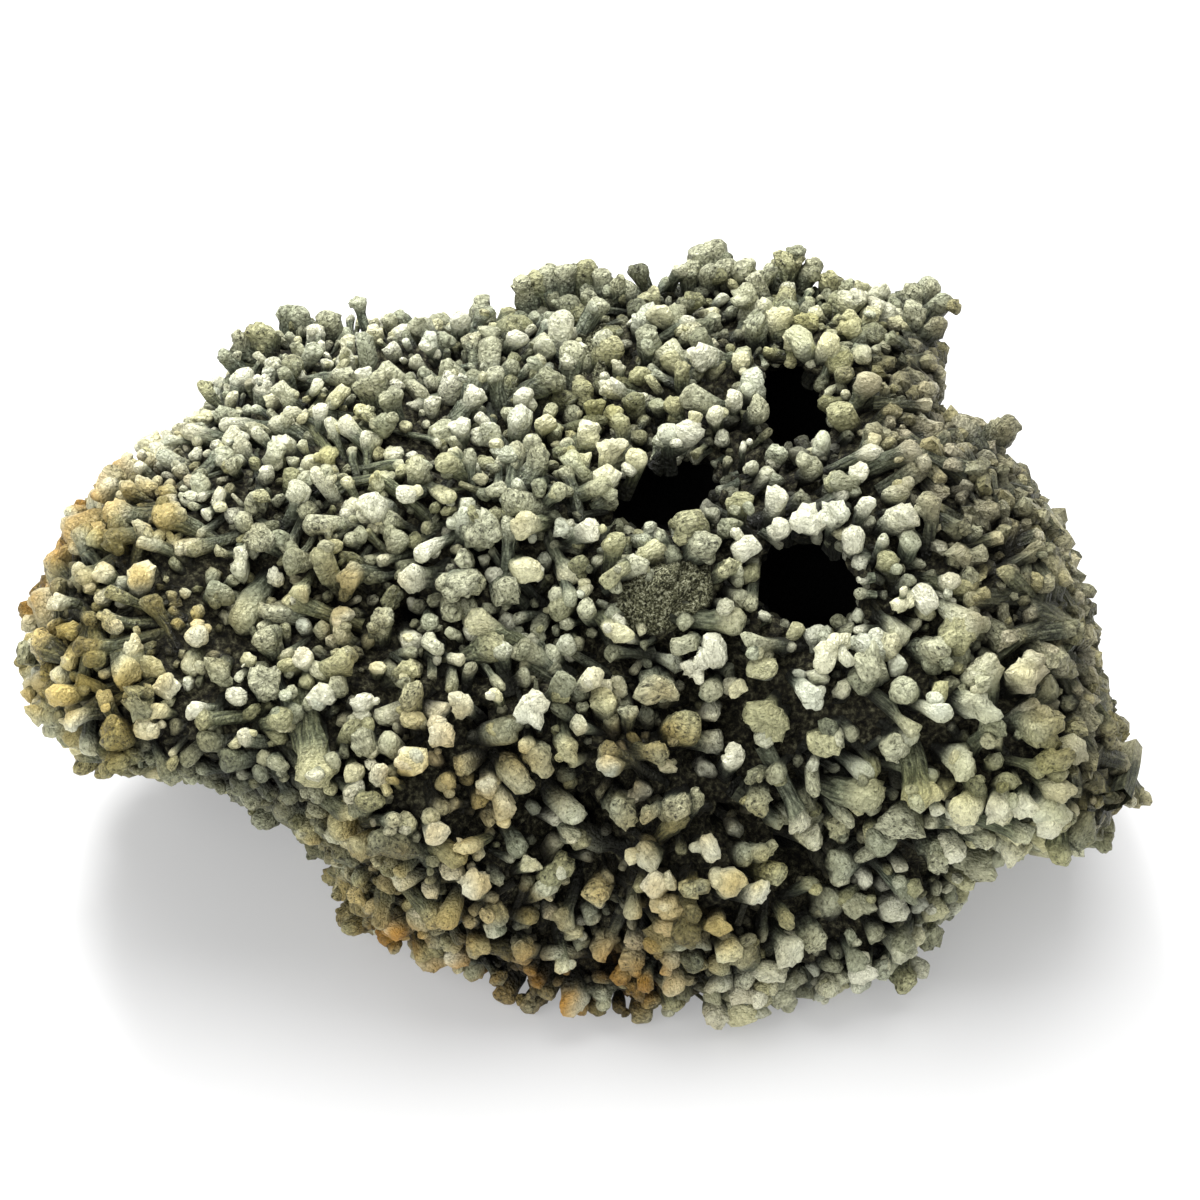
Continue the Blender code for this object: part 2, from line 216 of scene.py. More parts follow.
# How pale and how crusted they are
PROMINENT_LOOKS = {"bright": (0.85, 0.15), "grey": (0.35, 0.4), "crusted": (0.5, 0.9)}
# How far they stand out of the boulder, and how clear of it a line of sight runs at the rim
PROMINENT_HEIGHT = 6.0
RIM_CLEARANCE = 1.0
SIGHT_STEP = 0.5

# The share of fingers left out where few of them stand
THINNED = {"large": 0.2, "middle": 0.5, "small": 0.75, "grains": 0.75}

# How fingers lean: along the surface's facing, away from the heart, along a common sweep, and each its
# own way, which is a little on tame fingers, more on wild ones and most on the dark side
FACING_SHARE, OUTWARD_SHARE, SWEEP_SHARE = 0.6, 0.4, 0.4
SWEEP_LENGTH = 34.0
TAME, WILD, BROKEN = 0.3, 0.85, 1.1
WILD_SHARE = 0.5
LEAST_RISE = 0.35
# How deep roots go under the crust, and how far tips hang over the edge of a vug or a bare patch
ROOT_DEPTH = CRUST_DROP + 1.5
OVERHANG = (-3.5, 0.5)
CURVATURE = 0.3

# Buds on the sides of thicker fingers' caps: the share of fingers with a first, second and third bud
BUDS = {"large": (0.85, 0.5, 0.25), "middle": (0.45, 0.15), "blocky": (0.9, 0.6)}
PROMINENT_BUDS = (0.6, 0.3)


def unit(vectors):
    """The same directions at length one."""
    return vectors / np.linalg.norm(vectors, axis=-1, keepdims=True)


def waves(points, length, seed, count=60):
    """Smooth bumps of about unit height: waves of roughly one length that run in many directions."""
    rng = np.random.default_rng(seed)
    heading = unit(rng.normal(size=(count, 3)))
    pace = 2 * math.pi / length * rng.uniform(0.7, 1.4, (count, 1))
    phase = rng.uniform(0, 2 * math.pi, count)
    return np.sin(points @ (heading * pace).T + phase).sum(axis=1) * math.sqrt(2 / count)


def outline_radius(angle):
    """How far the outline lies from the heart at each angle of the view."""
    points = np.array(RIGHT_END + TOP_EDGE + LEFT_END + LOWER_EDGE, float)
    angles = np.arctan2(points[:, 1], points[:, 0])
    return np.interp(angle, angles, np.hypot(points[:, 0], points[:, 1]), period=2 * math.pi)


def boulder_radius(directions):
    """The boulder's reach from its heart in each direction, without the fingers."""
    right, up, toward = directions @ RIGHT, directions @ UP, directions @ TOWARD
    reach = outline_radius(np.arctan2(up, right)) - FINGER_RELIEF
    rim = np.maximum(np.hypot(right, up) / reach + toward / VIEW_DISTANCE, 0)
    terms = [rim]
    for facing, distance in FACES:
        terms.append(np.maximum(directions @ unit(np.array(facing)), 0) / distance)
    radius = sum(term**EDGE_SHARPNESS for term in terms) ** (-1 / EDGE_SHARPNESS)
    inside_rim = np.clip(1.4 - (rim * radius) ** 4, 0, 1)
    return radius + inside_rim * relief(directions * radius[:, None])


def relief(points):
    """Hollows and swells, in millimetres, at points given from the heart."""
    right, up, toward = points @ RIGHT, points @ UP, points @ TOWARD
    height = sum(rise * waves(points, length, WAVE_SEED) for length, rise in WAVES)
    in_front = 1 / (1 + np.exp(-(toward - 10) / 8))
    for at_right, at_up, radius, rise in SWELLS:
        away = ((right - at_right) ** 2 + (up - at_up) ** 2) / radius**2
        height += rise * np.exp(-away) * in_front
    return height


def surface(directions):
    """Points of the boulder's surface in those directions."""
    return HEART + directions * boulder_radius(directions)[:, None]


def surface_facing(directions, step=0.02):
    """The way the surface faces in those directions."""
    side = unit(np.cross(directions, [0.31, 0.17, 0.93]))
    other = np.cross(directions, side)
    along = surface(unit(directions + side * step)) - surface(unit(directions - side * step))
    across = surface(unit(directions + other * step)) - surface(unit(directions - other * step))
    facing = unit(np.cross(along, across))
    return facing * np.sign(np.sum(facing * directions, axis=1, keepdims=True))


def even_directions(count):
    """Directions spread evenly all round, on a spiral from pole to pole."""
    step = np.arange(count) + 0.5
    height = 1 - 2 * step / count
    turn = math.pi * (1 + math.sqrt(5)) * step
    ring = np.sqrt(1 - height**2)
    return np.stack([ring * np.cos(turn), ring * np.sin(turn), height], axis=1)


def in_view(points):
    """Points as the photograph shows them: right of the heart, above it, and toward the viewer."""
    from_heart = points - HEART
    toward = from_heart @ TOWARD
    scale = VIEW_DISTANCE / (VIEW_DISTANCE - toward)
    return from_heart @ RIGHT * scale, from_heart @ UP * scale, toward


def in_ovals(points, ovals, margin=0.0):
    """Which points of the front lie in ovals of the view: right, up, half width, half height, turn."""
    right, up, toward = in_view(points)
    found = np.zeros(len(points), bool)
    for at_right, at_up, wide, high, *rest in ovals:
        turn = math.radians(rest[0]) if rest else 0.0
        along = (right - at_right) * math.cos(turn) + (up - at_up) * math.sin(turn)
        across = (up - at_up) * math.cos(turn) - (right - at_right) * math.sin(turn)
        found |= (along / (wide + margin)) ** 2 + (across / (high + margin)) ** 2 < 1
    return found & (toward > 0)


# Spots of the view reach this far past the heart, away from the viewer
SPOTS_END = -40


def near_spot(points, spots):
    """How near points of the front are to round spots of the view, from 0 to 1: right, up, radius."""
    right, up, toward = in_view(points)
    share = np.zeros(len(points))
    for at_right, at_up, radius in spots:
        away = ((right - at_right) ** 2 + (up - at_up) ** 2) / radius**2
        share = np.maximum(share, np.exp(-away))
    return share * (toward > SPOTS_END)


# Colour zones, as the photograph shows them: right, up, radius. Grey fingers are crusted, those under the
# lower left overhang darkened as painted shade, and dusty ones pale all over.
RUST_SPOTS = [
    (-147, 15, 8), (-143, 27, 8), (-136, 39, 7), (-128, 48, 6), (-32, -91, 11), (-10, -97, 13),
    (12, -88, 9), (-50, -80, 8),
]
TAN_SPOTS = [
    (-55, -66, 26), (-20, -78, 26), (12, -28, 15), (-30, -40, 24), (24, -66, 24), (-120, 30, 20),
    (5, -95, 26), (-132, -10, 28), (-115, 12, 22), (20, -24, 12), (-62, 10, 14),
]
YELLOW_SPOTS = [
    (115, -10, 6), (-132, -10, 30), (-118, 14, 24), (45, -62, 18), (118, -36, 22), (-60, 50, 14),
    (0, 50, 12), (60, 80, 16), (100, -30, 20), (8, 62, 10),
]
GREY_SPOTS = [
    (-25, 70, 20), (25, 96, 18), (62, 92, 20), (-85, 30, 20), (-50, 20, 16), (-95, 60, 16), (8, 92, 20),
    (40, -8, 10),
]
# Painted shade under the lower left overhang: fingers here are made less pale and darker at their feet.
PAINTED_SHADE_SPOTS = [(-118, -38, 14), (-100, -36, 12), (-84, -46, 12), (-72, -58, 10)]
DUSTY_SPOTS = [(90, 45, 17), (-85, 66, 24), (-60, 74, 22), (-98, 48, 18), (-40, 62, 16), (-62, 46, 14)]

# Where fingers are small and even, where they are thick, and where they are longer
GRANULAR_SPOTS = [(-75, 80, 38), (-98, 60, 18)]
THICK_SPOTS = [(100, -20, 40), (60, -70, 40)]
LONG_SPOTS = [(90, -20, 40)]
# Where few small crystals stand between the fingers, where all are tall, and where all are short
SPARSE_SPOTS = [
    (30, -35, 28), (0, -50, 26), (35, -62, 26), (66, -55, 22), (80, -20, 20), (-30, -30, 20),
    (50, 40, 30), (44, -18, 24), (-10, -80, 20),
]
TALL_SPOTS = [(132, 18, 18), (148, -36, 12)]
SHORT_SPOTS = [
    (-142, 34, 12), (-100, -40, 14), (-84, -46, 12), (96, 67, 10), (-78, -54, 8), (114, -58, 12),
]

# Ridge where the brownish grey right side begins: heights in the view, and how far right it is there
RIDGE_UP = (-58, -50, -40, -26, -10, 5, 24, 48, 71, 85, 100)
RIDGE_RIGHT = (150, 132, 124, 121, 112, 102, 93, 77, 69, 88, 104)


def dark_side(points):
    """How far points are into the brownish grey crust of the right end and the back, from 0 to 1."""
    right, up, toward = in_view(points)
    past_ridge = 1 / (1 + np.exp(-(right - np.interp(up, RIDGE_UP, RIDGE_RIGHT)) / 3.0))
    behind = 1 / (1 + np.exp((toward + 34.0) / 8.0))
    return np.maximum(past_ridge, behind)


def spaced_out(points, spacing, taken=None):
    """Indices of points picked in turn, none nearer than the spacing to another or to a taken one."""
    order = np.random.default_rng(SEED).permutation(len(points))
    grid = {}
    kept = []
    for point in [] if taken is None else taken:
        grid.setdefault(tuple((point // spacing).astype(int)), []).append(point)
    for index in order:
        point = points[index]
        x, y, z = (point // spacing).astype(int)
        near = [
            other
            for step_x in (-1, 0, 1)
            for step_y in (-1, 0, 1)
            for step_z in (-1, 0, 1)
            for other in grid.get((x + step_x, y + step_y, z + step_z), ())
        ]
        if all(np.sum((other - point) ** 2) > spacing**2 for other in near):
            kept.append(index)
            grid.setdefault((x, y, z), []).append(point)
    return np.array(kept)


class Fingers:
    """Fingers of one kind: where each stands, its tip, its thickness, shape and looks."""

    def __init__(self, foot, tip, cap, rng):
        count = len(foot)
        self.foot, self.tip, self.cap = foot, tip, cap
        self.bluntness = rng.uniform(0.5, 1.15, count)
        self.belly = rng.uniform(0.2, 1.0, count)
        self.belly += (rng.uniform(size=count) < 0.45) * rng.uniform(0.4, 1.8, count)
        self.waist = rng.uniform(0.55, 0.95, count)
        self.flatness = rng.uniform(0.62, 1.0, count)
        self.squareness = rng.uniform(2.0, 3.8, count)
        self.lumpiness = rng.uniform(0.5, 1.5, count)
        self.mark = rng.uniform(0, 1, count)
        self.pale = rng.beta(1.5, 1.6, count)
        self.crusted = rng.beta(0.8, 1.7, count)


def place_fingers(kind, candidates, taken):
    """Fingers of one kind on free places of the boulder, and the places they take."""
    directions, points, facing, dark = candidates
    spec = FINGER_KINDS[kind]
    allowed = {FRONT: dark < 0.5, DARK_SIDE: dark >= 0.5, EVERYWHERE: dark > -1}[spec["on"]]
    allowed = np.flatnonzero(allowed)
    picked = allowed[spaced_out(points[allowed], spec["spacing"], taken)]
    rng = np.random.default_rng(SEED + len(taken))
    count = len(picked)
    foot, normal, outward = points[picked], facing[picked], directions[picked]
    sweep = np.stack([waves(foot, SWEEP_LENGTH, SEED + axis) for axis in range(3)], axis=1)
    wildness = np.where(rng.uniform(size=(count, 1)) < WILD_SHARE, WILD, TAME)
    wildness = BROKEN if spec["on"] == DARK_SIDE else wildness
    own_way = wildness * rng.normal(size=(count, 3))
    heading = unit(FACING_SHARE * normal + OUTWARD_SHARE * outward + own_way + SWEEP_SHARE * sweep)
    rise = np.sum(heading * normal, axis=1, keepdims=True)
    heading = unit(heading + normal * np.maximum(LEAST_RISE - rise, 0))
    rise = np.sum(heading * normal, axis=1)
    low, high = spec["height"]
    height = low + (high - low) * rng.beta(1.4, 1.4, count)
    low, high = spec["cap"]
    cap = low + (high - low) * rng.beta(1.2, 2.1, count)
    cap *= 1 + 0.20 * near_spot(foot, THICK_SPOTS)
    cap *= 1 - 0.30 * near_spot(foot, GRANULAR_SPOTS)
    height *= np.clip(1 + 0.15 * waves(foot, 24.0, SEED + 9), 0.6, 1.3)
    height *= 1 - 0.2 * near_spot(foot, GRANULAR_SPOTS)
    height *= 1 + 0.25 * near_spot(foot, LONG_SPOTS)
    height *= 1 + 0.8 * near_spot(foot, TALL_SPOTS)
    height *= 1 - 0.6 * near_spot(foot, SHORT_SPOTS)
    height *= 1 - 0.9 * near_spot(foot, HOLLOWS)
    tip = foot + heading * (height / np.maximum(rise, 0.4) ** 0.5)[:, None]
    tip[:, 2] = np.maximum(tip[:, 2], cap * 1.2)
    root = foot - heading * (ROOT_DEPTH / np.maximum(rise, 0.5))[:, None]
    root -= normal * (HOLLOW_DROP * near_spot(foot, HOLLOWS))[:, None]
    overhang = rng.uniform(*OVERHANG, count)
    clear = ~(in_ovals(tip, VUGS, overhang) | in_ovals(root, VUGS, 1.0))
    clear &= ~in_ovals(tip, BARE_PATCHES, overhang)
    clear &= ~hides_prominent(tip)
    clear &= rng.uniform(size=count) > THINNED.get(kind, 0.0) * near_spot(foot, SPARSE_SPOTS)
    fingers = Fingers(root[clear], tip[clear], cap[clear], rng)
    if spec["on"] == DARK_SIDE:
        fingers.waist = rng.uniform(0.95, 1.25, len(fingers.tip))
        fingers.lumpiness = rng.uniform(1.1, 2.1, len(fingers.tip))
        fingers.pale = rng.uniform(0.1, 1.0, len(fingers.tip))
        fingers.crusted = rng.uniform(0.2, 0.9, len(fingers.tip))
    fingers.pale *= 0.5 if kind == "grains" else 1.0
    # Dusty spots make fingers paler; under the lower left overhang they are made darker as painted shade.
    fingers.pale += 0.3 * near_spot(fingers.tip, DUSTY_SPOTS) - 0.6 * near_spot(fingers.tip, PAINTED_SHADE_SPOTS)
    grey = near_spot(fingers.tip, GREY_SPOTS)
    fingers.pale = np.clip(fingers.pale - 0.12 * grey, 0, 1)
    fingers.crusted = np.clip(fingers.crusted + 0.3 * grey, 0, 1)
    return fingers, foot


def prominent_fingers():
    """The fingers whose caps stand out in the photograph, each where its view shows it."""
    rows = np.array([row for caps in PROMINENT_CAPS.values() for row in caps], float)
    x, y, half_width, stretch, pointing = rows.T
    looks = [PROMINENT_LOOKS[look] for look, caps in PROMINENT_CAPS.items() for _ in caps]
    right, up = (x - HEART_PIXEL[0]) * MM_PER_PIXEL, (HEART_PIXEL[1] - y) * MM_PER_PIXEL
    in_plane = HEART + RIGHT * right[:, None] + UP * up[:, None]
    sight = unit(in_plane - HEART - TOWARD * VIEW_DISTANCE)
    steps = np.arange(VIEW_DISTANCE / 6, -VIEW_DISTANCE / 12, -SIGHT_STEP)
    sight_points = in_plane[:, None, :] - sight[:, None, :] * steps[:, None]
    over = height_over_crust(sight_points.reshape(-1, 3)).reshape(len(rows), -1)
    reached = over < PROMINENT_HEIGHT
    nearest = np.where(reached.any(axis=1), reached.argmax(axis=1), over.argmin(axis=1))
    middle = sight_points[np.arange(len(rows)), nearest]
    normal = surface_facing(unit(middle - HEART))
    turn = np.radians(pointing)[:, None]
    sideways = RIGHT * np.cos(turn) + UP * np.sin(turn)
    cap = half_width * MM_PER_PIXEL
    slant = (0.2 + 0.8 * (stretch - 1))[:, None] * sideways
    at_rim = (over.min(axis=1) > RIM_CLEARANCE)[:, None]
    axis = np.where(at_rim, unit(normal + 0.35 * TOWARD), unit(normal + slant))
    for way in (-slant, np.cross(slant, TOWARD), np.cross(TOWARD, slant)):
        hanging = in_ovals(middle - axis * PROMINENT_HEIGHT, VUGS, 2.0)[:, None]
        axis = np.where(hanging, unit(normal + way), axis)
    tip = middle + axis * (0.8 * cap * stretch)[:, None]
    tip[:, 2] = np.maximum(tip[:, 2], cap * 1.2)
    rise = np.maximum(np.sum(axis * normal, axis=1), 0.4)
    length = (height_over_crust(tip) + ROOT_DEPTH) / rise
    fingers = Fingers(tip - axis * length[:, None], tip, cap, np.random.default_rng(SEED + 3))
    fingers.belly = 0.3 + 1.6 * (stretch - 1)
    fingers.pale, fingers.crusted = np.array(looks).T
    fingers.waist = np.where(at_rim[:, 0], 1.1, 0.7 + 0.3 * fingers.crusted)
    return fingers


def budding(fingers, shares):
    """Smaller caps that grow out of the sides of the given fingers' caps."""
    rng = np.random.default_rng(SEED + 7)
    parents = [np.flatnonzero(rng.uniform(size=len(fingers.tip)) < share) for share in shares]
    parent = np.concatenate(parents)
    axis = unit(fingers.tip[parent] - fingers.foot[parent])
    size = fingers.cap[parent][:, None]
    sideways = rng.normal(size=axis.shape)
    sideways = unit(sideways - axis * np.sum(sideways * axis, axis=1, keepdims=True))
    foot = fingers.tip[parent] - axis * size * rng.uniform(0.8, 2.4, (len(parent), 1))
    heading = unit(sideways + axis * rng.uniform(0.0, 1.2, (len(parent), 1)))
    tip = foot + heading * size * rng.uniform(1.15, 1.8, (len(parent), 1))
    cap = fingers.cap[parent] * rng.uniform(0.42, 0.82, len(parent))
    buds = Fingers(foot, tip, cap, rng)
    buds.pale = np.clip(fingers.pale[parent] + 0.15 * rng.normal(size=len(parent)), 0, 1)
    buds.crusted = fingers.crusted[parent]
    return buds


def finger_meshes(fingers, sides, cap_rings):
    """Points, quads and point looks of all fingers at once: rings from the tip down to the foot."""
    count = len(fingers.tip)
    axis = fingers.foot - fingers.tip
    length = np.linalg.norm(axis, axis=1)
    axis = axis / length[:, None]
    side = unit(np.cross(axis, [0.36, 0.48, 0.8]))
    other = np.cross(axis, side)
    turn = fingers.mark * 2 * math.pi
    side, other = (
        side * np.cos(turn)[:, None] + other * np.sin(turn)[:, None],
        other * np.cos(turn)[:, None] - side * np.sin(turn)[:, None],
    )
    cap = fingers.cap[:, None]
    below, radius = finger_profile(fingers, length[:, None], cap_rings)
    rings = below.shape[1]
    angle = np.arange(sides) * 2 * math.pi / sides
    cosine, sine = np.cos(angle), np.sin(angle)
    power = fingers.squareness[:, None]
    square = (np.abs(cosine) ** power + np.abs(sine) ** power) ** (-1 / power)
    wide, narrow = square * cosine, square * sine * fingers.flatness[:, None]
    across = side[:, None, :] * wide[..., None] + other[:, None, :] * narrow[..., None]
    bend = side * (CURVATURE * np.sin(fingers.mark * 50.0))[:, None]
    curve = (below / length[:, None] - 1) * below
    middle = fingers.tip[:, None, :] + axis[:, None, :] * below[..., None]
    middle = middle + bend[:, None, :] * curve[..., None]
    points = middle[:, :, None, :] + across[:, None, :, :] * radius[..., None, None]
    shape = (count, rings, sides)
    swell = lumps(points.reshape(-1, 3)).reshape(shape) * fingers.lumpiness[:, None, None]
    points = points + unit(across)[:, None, :, :] * (swell * radius[..., None])[..., None]
    points = points - axis[:, None, None, :] * (swell * cap[..., None] * 0.6)[..., None]
    points[..., 2] = np.maximum(points[..., 2], 0.0)
    local = [
        np.broadcast_to(radius[..., None] * cosine, shape),
        np.broadcast_to(radius[..., None] * sine, shape),
        np.broadcast_to(below[..., None], shape),
    ]
    pale_end = cap * (0.6 + 0.6 * fingers.belly[:, None])
    apart = (fingers.mark[:, None] * [137.0, 71.0, 211.0])[:, None, None, :]
    looks = {
        "below_tip": np.broadcast_to((below / pale_end)[..., None], shape).reshape(-1),
        "pale": np.broadcast_to(fingers.pale[:, None, None], shape).reshape(-1),
        "crusted": np.broadcast_to(fingers.crusted[:, None, None], shape).reshape(-1),
        "mark": np.broadcast_to(fingers.mark[:, None, None], shape).reshape(-1),
        "grain": (np.stack(local, axis=-1) + apart).reshape(-1, 3),
    }
    number = np.arange(count * rings * sides).reshape(shape)
    near, far = number, np.roll(number, -1, axis=2)
    quads = np.stack([near[:, :-1], near[:, 1:], far[:, 1:], far[:, :-1]], axis=-1)
    return points.reshape(-1, 3), quads.reshape(-1, 4), looks


def lumps(points):
    """Rounded lumps with creases between them, as a share of a finger's radius."""
    wide = 0.12 * waves(points, 9.0, SEED + 20)
    creased = 0.15 * (np.abs(waves(points, 6.0, SEED + 21)) - 0.8)
    fine = 0.10 * (np.abs(waves(points, 3.0, SEED + 22)) - 0.8)
    return wide + creased + fine


def finger_profile(fingers, length, cap_rings):
    """Heights below the tip and radii of the rings: a blunt cap, a belly, a waist and the foot."""
    cap, blunt = fingers.cap[:, None], fingers.bluntness[:, None]
    waist, belly = fingers.waist[:, None], fingers.belly[:, None]
    turn = np.linspace(0, math.pi / 2, cap_rings)
    cap_drop = blunt * (1 - np.cos(turn))
    cap_width = np.ones(len(cap))[:, None] * np.maximum(np.sin(turn) ** 0.8, 0.001)
    shaft_drop = np.concatenate([belly, belly + 0.7, belly + 1.8], axis=1)
    room = np.maximum(0.9 * length / cap - blunt, 0.05) / shaft_drop[:, -1:]
    shaft_drop = blunt + shaft_drop * np.minimum(room, 1)
    shaft_width = np.concatenate([0.6 + 0.4 * waist, waist, waist * 0.92, waist], axis=1)
    below = np.concatenate([cap_drop * cap, shaft_drop * cap, np.maximum(length, blunt * cap * 1.1)], axis=1)
    radius = np.concatenate([cap_width, shaft_width], axis=1) * cap
    if cap_rings <= PLAIN_CAP_RINGS:
        plain = [*range(cap_rings), cap_rings, -1]
        below, radius = below[:, plain], radius[:, plain]
    return below, radius


def quad_piece(name, points, quads, looks, smooth):
    """A mesh piece from points in millimetres and quads, with its looks as attributes."""
    mesh = bpy.data.meshes.new(name)
    mesh.vertices.add(len(points))
    mesh.vertices.foreach_set("co", (points * MM).astype(np.float32).ravel())
    mesh.loops.add(quads.size)
    mesh.loops.foreach_set("vertex_index", quads.astype(np.int32).ravel())
    mesh.polygons.add(len(quads))
    mesh.polygons.foreach_set("loop_start", np.arange(0, quads.size, 4, dtype=np.int32))
    mesh.polygons.foreach_set("use_smooth", np.full(len(quads), smooth))
    for look, values in looks.items():
        kind = "FLOAT_VECTOR" if values.ndim == 2 else "FLOAT"
        field = "vector" if values.ndim == 2 else "value"
        attribute = mesh.attributes.new(look, kind, "POINT")
        attribute.data.foreach_set(field, values.astype(np.float32).ravel())
    mesh.update(calc_edges=True)
    mesh.validate()
    piece = bpy.data.objects.new(name, mesh)
    bpy.context.scene.collection.objects.link(piece)
    return piece


def zone_looks(points):
    """Colour zones at points: rust, tan, yellow and the dark crust, each from 0 to 1."""
    patchy = 0.5 + 0.5 * waves(points, 16.0, SEED + 30)
    return {
        "rust": np.clip(near_spot(points, RUST_SPOTS) * (0.5 + patchy), 0, 1),
        "tan": np.clip(near_spot(points, TAN_SPOTS) * (0.4 + patchy), 0, 1),
        "yellow": np.clip(near_spot(points, YELLOW_SPOTS) * (0.4 + patchy), 0, 1),
        "dark": np.clip(dark_side(points) + 0.15 * waves(points, 12.0, SEED + 31), 0, 1),
        "bare": in_ovals(points, BARE_PATCHES).astype(float),
    }


def hides_prominent(points):
    """Which points of the front would stand before a prominent cap in the view."""
    right, up, toward = in_view(points)
    hides = np.zeros(len(points), bool)
    for x, y, half_width, *_ in [row for caps in PROMINENT_CAPS.values() for row in caps]:
        at_right, at_up = (x - HEART_PIXEL[0]) * MM_PER_PIXEL, (HEART_PIXEL[1] - y) * MM_PER_PIXEL
        hides |= np.hypot(right - at_right, up - at_up) < half_width * MM_PER_PIXEL
    return hides & (toward > 0)


def height_over_crust(points):
    """How far points stand out of the boulder, in millimetres."""
    away = points - HEART
    distance = np.linalg.norm(away, axis=1)
    return distance - boulder_radius(away / distance[:, None])


directions = even_directions(DIRECTION_COUNT)
points = surface(directions)
keep = (points[:, 2] > BASE_MARGIN) & ~in_ovals(points, VUGS, 0.5) & ~in_ovals(points, BARE_PATCHES, -3.0)
directions, points = directions[keep], points[keep]
candidates = directions, points, surface_facing(directions), dark_side(points)
prominent = prominent_fingers()
taken = surface(unit(prominent.tip - HEART))
pieces = []


def grow(name, fingers, sides, cap_rings, smooth, height=None):
    """A piece of fingers with its looks. The height tells how far its points stand out of the crust, which
    sets the painted shade at their feet.
    """
    mesh_points, quads, looks = finger_meshes(fingers, sides, cap_rings)
    looks |= zone_looks(mesh_points)
    looks["height"] = height_over_crust(mesh_points) if height is None else height(mesh_points)
    # Painted shade at the feet follows the height: more of it where fingers are sparse, on the dark side and
    # under the lower left overhang, less in dusty spots.
    looks["height"] += 1.5 * near_spot(mesh_points, DUSTY_SPOTS) - 3.0 * near_spot(mesh_points, SPARSE_SPOTS)
    looks["height"] -= 1.3 * looks["dark"] + 3.0 * near_spot(mesh_points, PAINTED_SHADE_SPOTS)
    pieces.append(quad_piece(name, mesh_points, quads, looks, smooth))


grow("prominent_fingers", prominent, 18, 7, True)
grow("prominent_buds", budding(prominent, PROMINENT_BUDS), 11, 4, True)
for kind, spec in FINGER_KINDS.items():
    fingers, foot = place_fingers(kind, candidates, taken)
    taken = np.concatenate([taken, foot])
    grow(f"{kind}_fingers", fingers, *spec["mesh"], spec["on"] == FRONT)
    if kind in BUDS:
        smooth = spec["on"] == FRONT
        grow(f"{kind}_buds", budding(fingers, BUDS[kind]), *((9, 4) if smooth else (6, 3)), smooth)


def crust():
    """The dark crust between the fingers: the boulder's surface, finely pitted, with its flat base."""
    bm = bmesh.new()
    bmesh.ops.create_icosphere(bm, subdivisions=7, radius=1.0)
    directions = unit(np.array([vert.co[:] for vert in bm.verts]))
    at = surface(directions)
    rough = 2.0 * np.abs(waves(at, 9.0, SEED + 40)) + 1.3 * np.abs(waves(at, 5.0, SEED + 41)) - 2.4
    drop = CRUST_DROP + HOLLOW_DROP * near_spot(at, HOLLOWS)
    drop = np.where(in_ovals(at, BARE_PATCHES, 2.0), 0.0, drop)
    at = at + directions * (rough - drop)[:, None]
    at[:, 2] = np.maximum(at[:, 2], 0.0)
    for vert, place in zip(bm.verts, at):
        vert.co = place * MM
    mesh = bpy.data.meshes.new("crust")
    bm.to_mesh(mesh)
    bm.free()
    mesh.shade_smooth()
    for look, values in (zone_looks(at) | {"height": rough}).items():
        attribute = mesh.attributes.new(look, "FLOAT", "POINT")
        attribute.data.foreach_set("value", values.astype(np.float32))
    piece = bpy.data.objects.new("crust", mesh)
    bpy.context.scene.collection.objects.link(piece)
    return piece


def vug_cutter(number, vug):
    """A helper solid with a vug's uneven shape, cut out of the crust."""
    mouth, inward, along, across = vug_frame(vug)
    depth = vug[5]
    bm = bmesh.new()
    bmesh.ops.create_icosphere(bm, subdivisions=4, radius=1.0)
    for vert in bm.verts:
        x, y, z = vert.co
        roundness = max(1 - z**2, 0.0) ** -0.25 if abs(z) < 0.98 else 1.0
        place = mouth + (along * x + across * y) * roundness
        place = place + inward * (depth * 0.5 - VUG_START + z * (depth * 0.5 + VUG_START))
        vert.co = place * MM
    at = np.array([vert.co[:] for vert in bm.verts]) / MM
    rough = 1.5 * waves(at, 9.0, SEED + 50 + number)
    middle = at.mean(axis=0)
    for vert, place in zip(bm.verts, at + unit(at - middle) * rough[:, None]):
        vert.co = place * MM
    bmesh.ops.recalc_face_normals(bm, faces=bm.faces)
    mesh = bpy.data.meshes.new(f"vug_cutter_{number}")
    bm.to_mesh(mesh)
    bm.free()
    cutter = bpy.data.objects.new(mesh.name, mesh)
    bpy.context.scene.collection.objects.link(cutter)
    return cutter


def vug_frame(vug):
    """A vug's mouth on the boulder, the way into it, and its two half axes."""
    at_right, at_up, wide, high, turn, _ = vug
    eye = HEART + TOWARD * VIEW_DISTANCE
    inward = unit(HEART + RIGHT * at_right + UP * at_up - eye)
    steps = np.linspace(VIEW_DISTANCE / 6, 0, 400)[:, None]
    ray = HEART + RIGHT * at_right + UP * at_up - inward * steps
    mouth = ray[np.argmax(height_over_crust(ray) < 0)]
    turn = math.radians(turn)
    along = (RIGHT * math.cos(turn) + UP * math.sin(turn)) * wide * VUG_GAPE
    across = (UP * math.cos(turn) - RIGHT * math.sin(turn)) * high * VUG_GAPE
    return mouth, inward, along, across


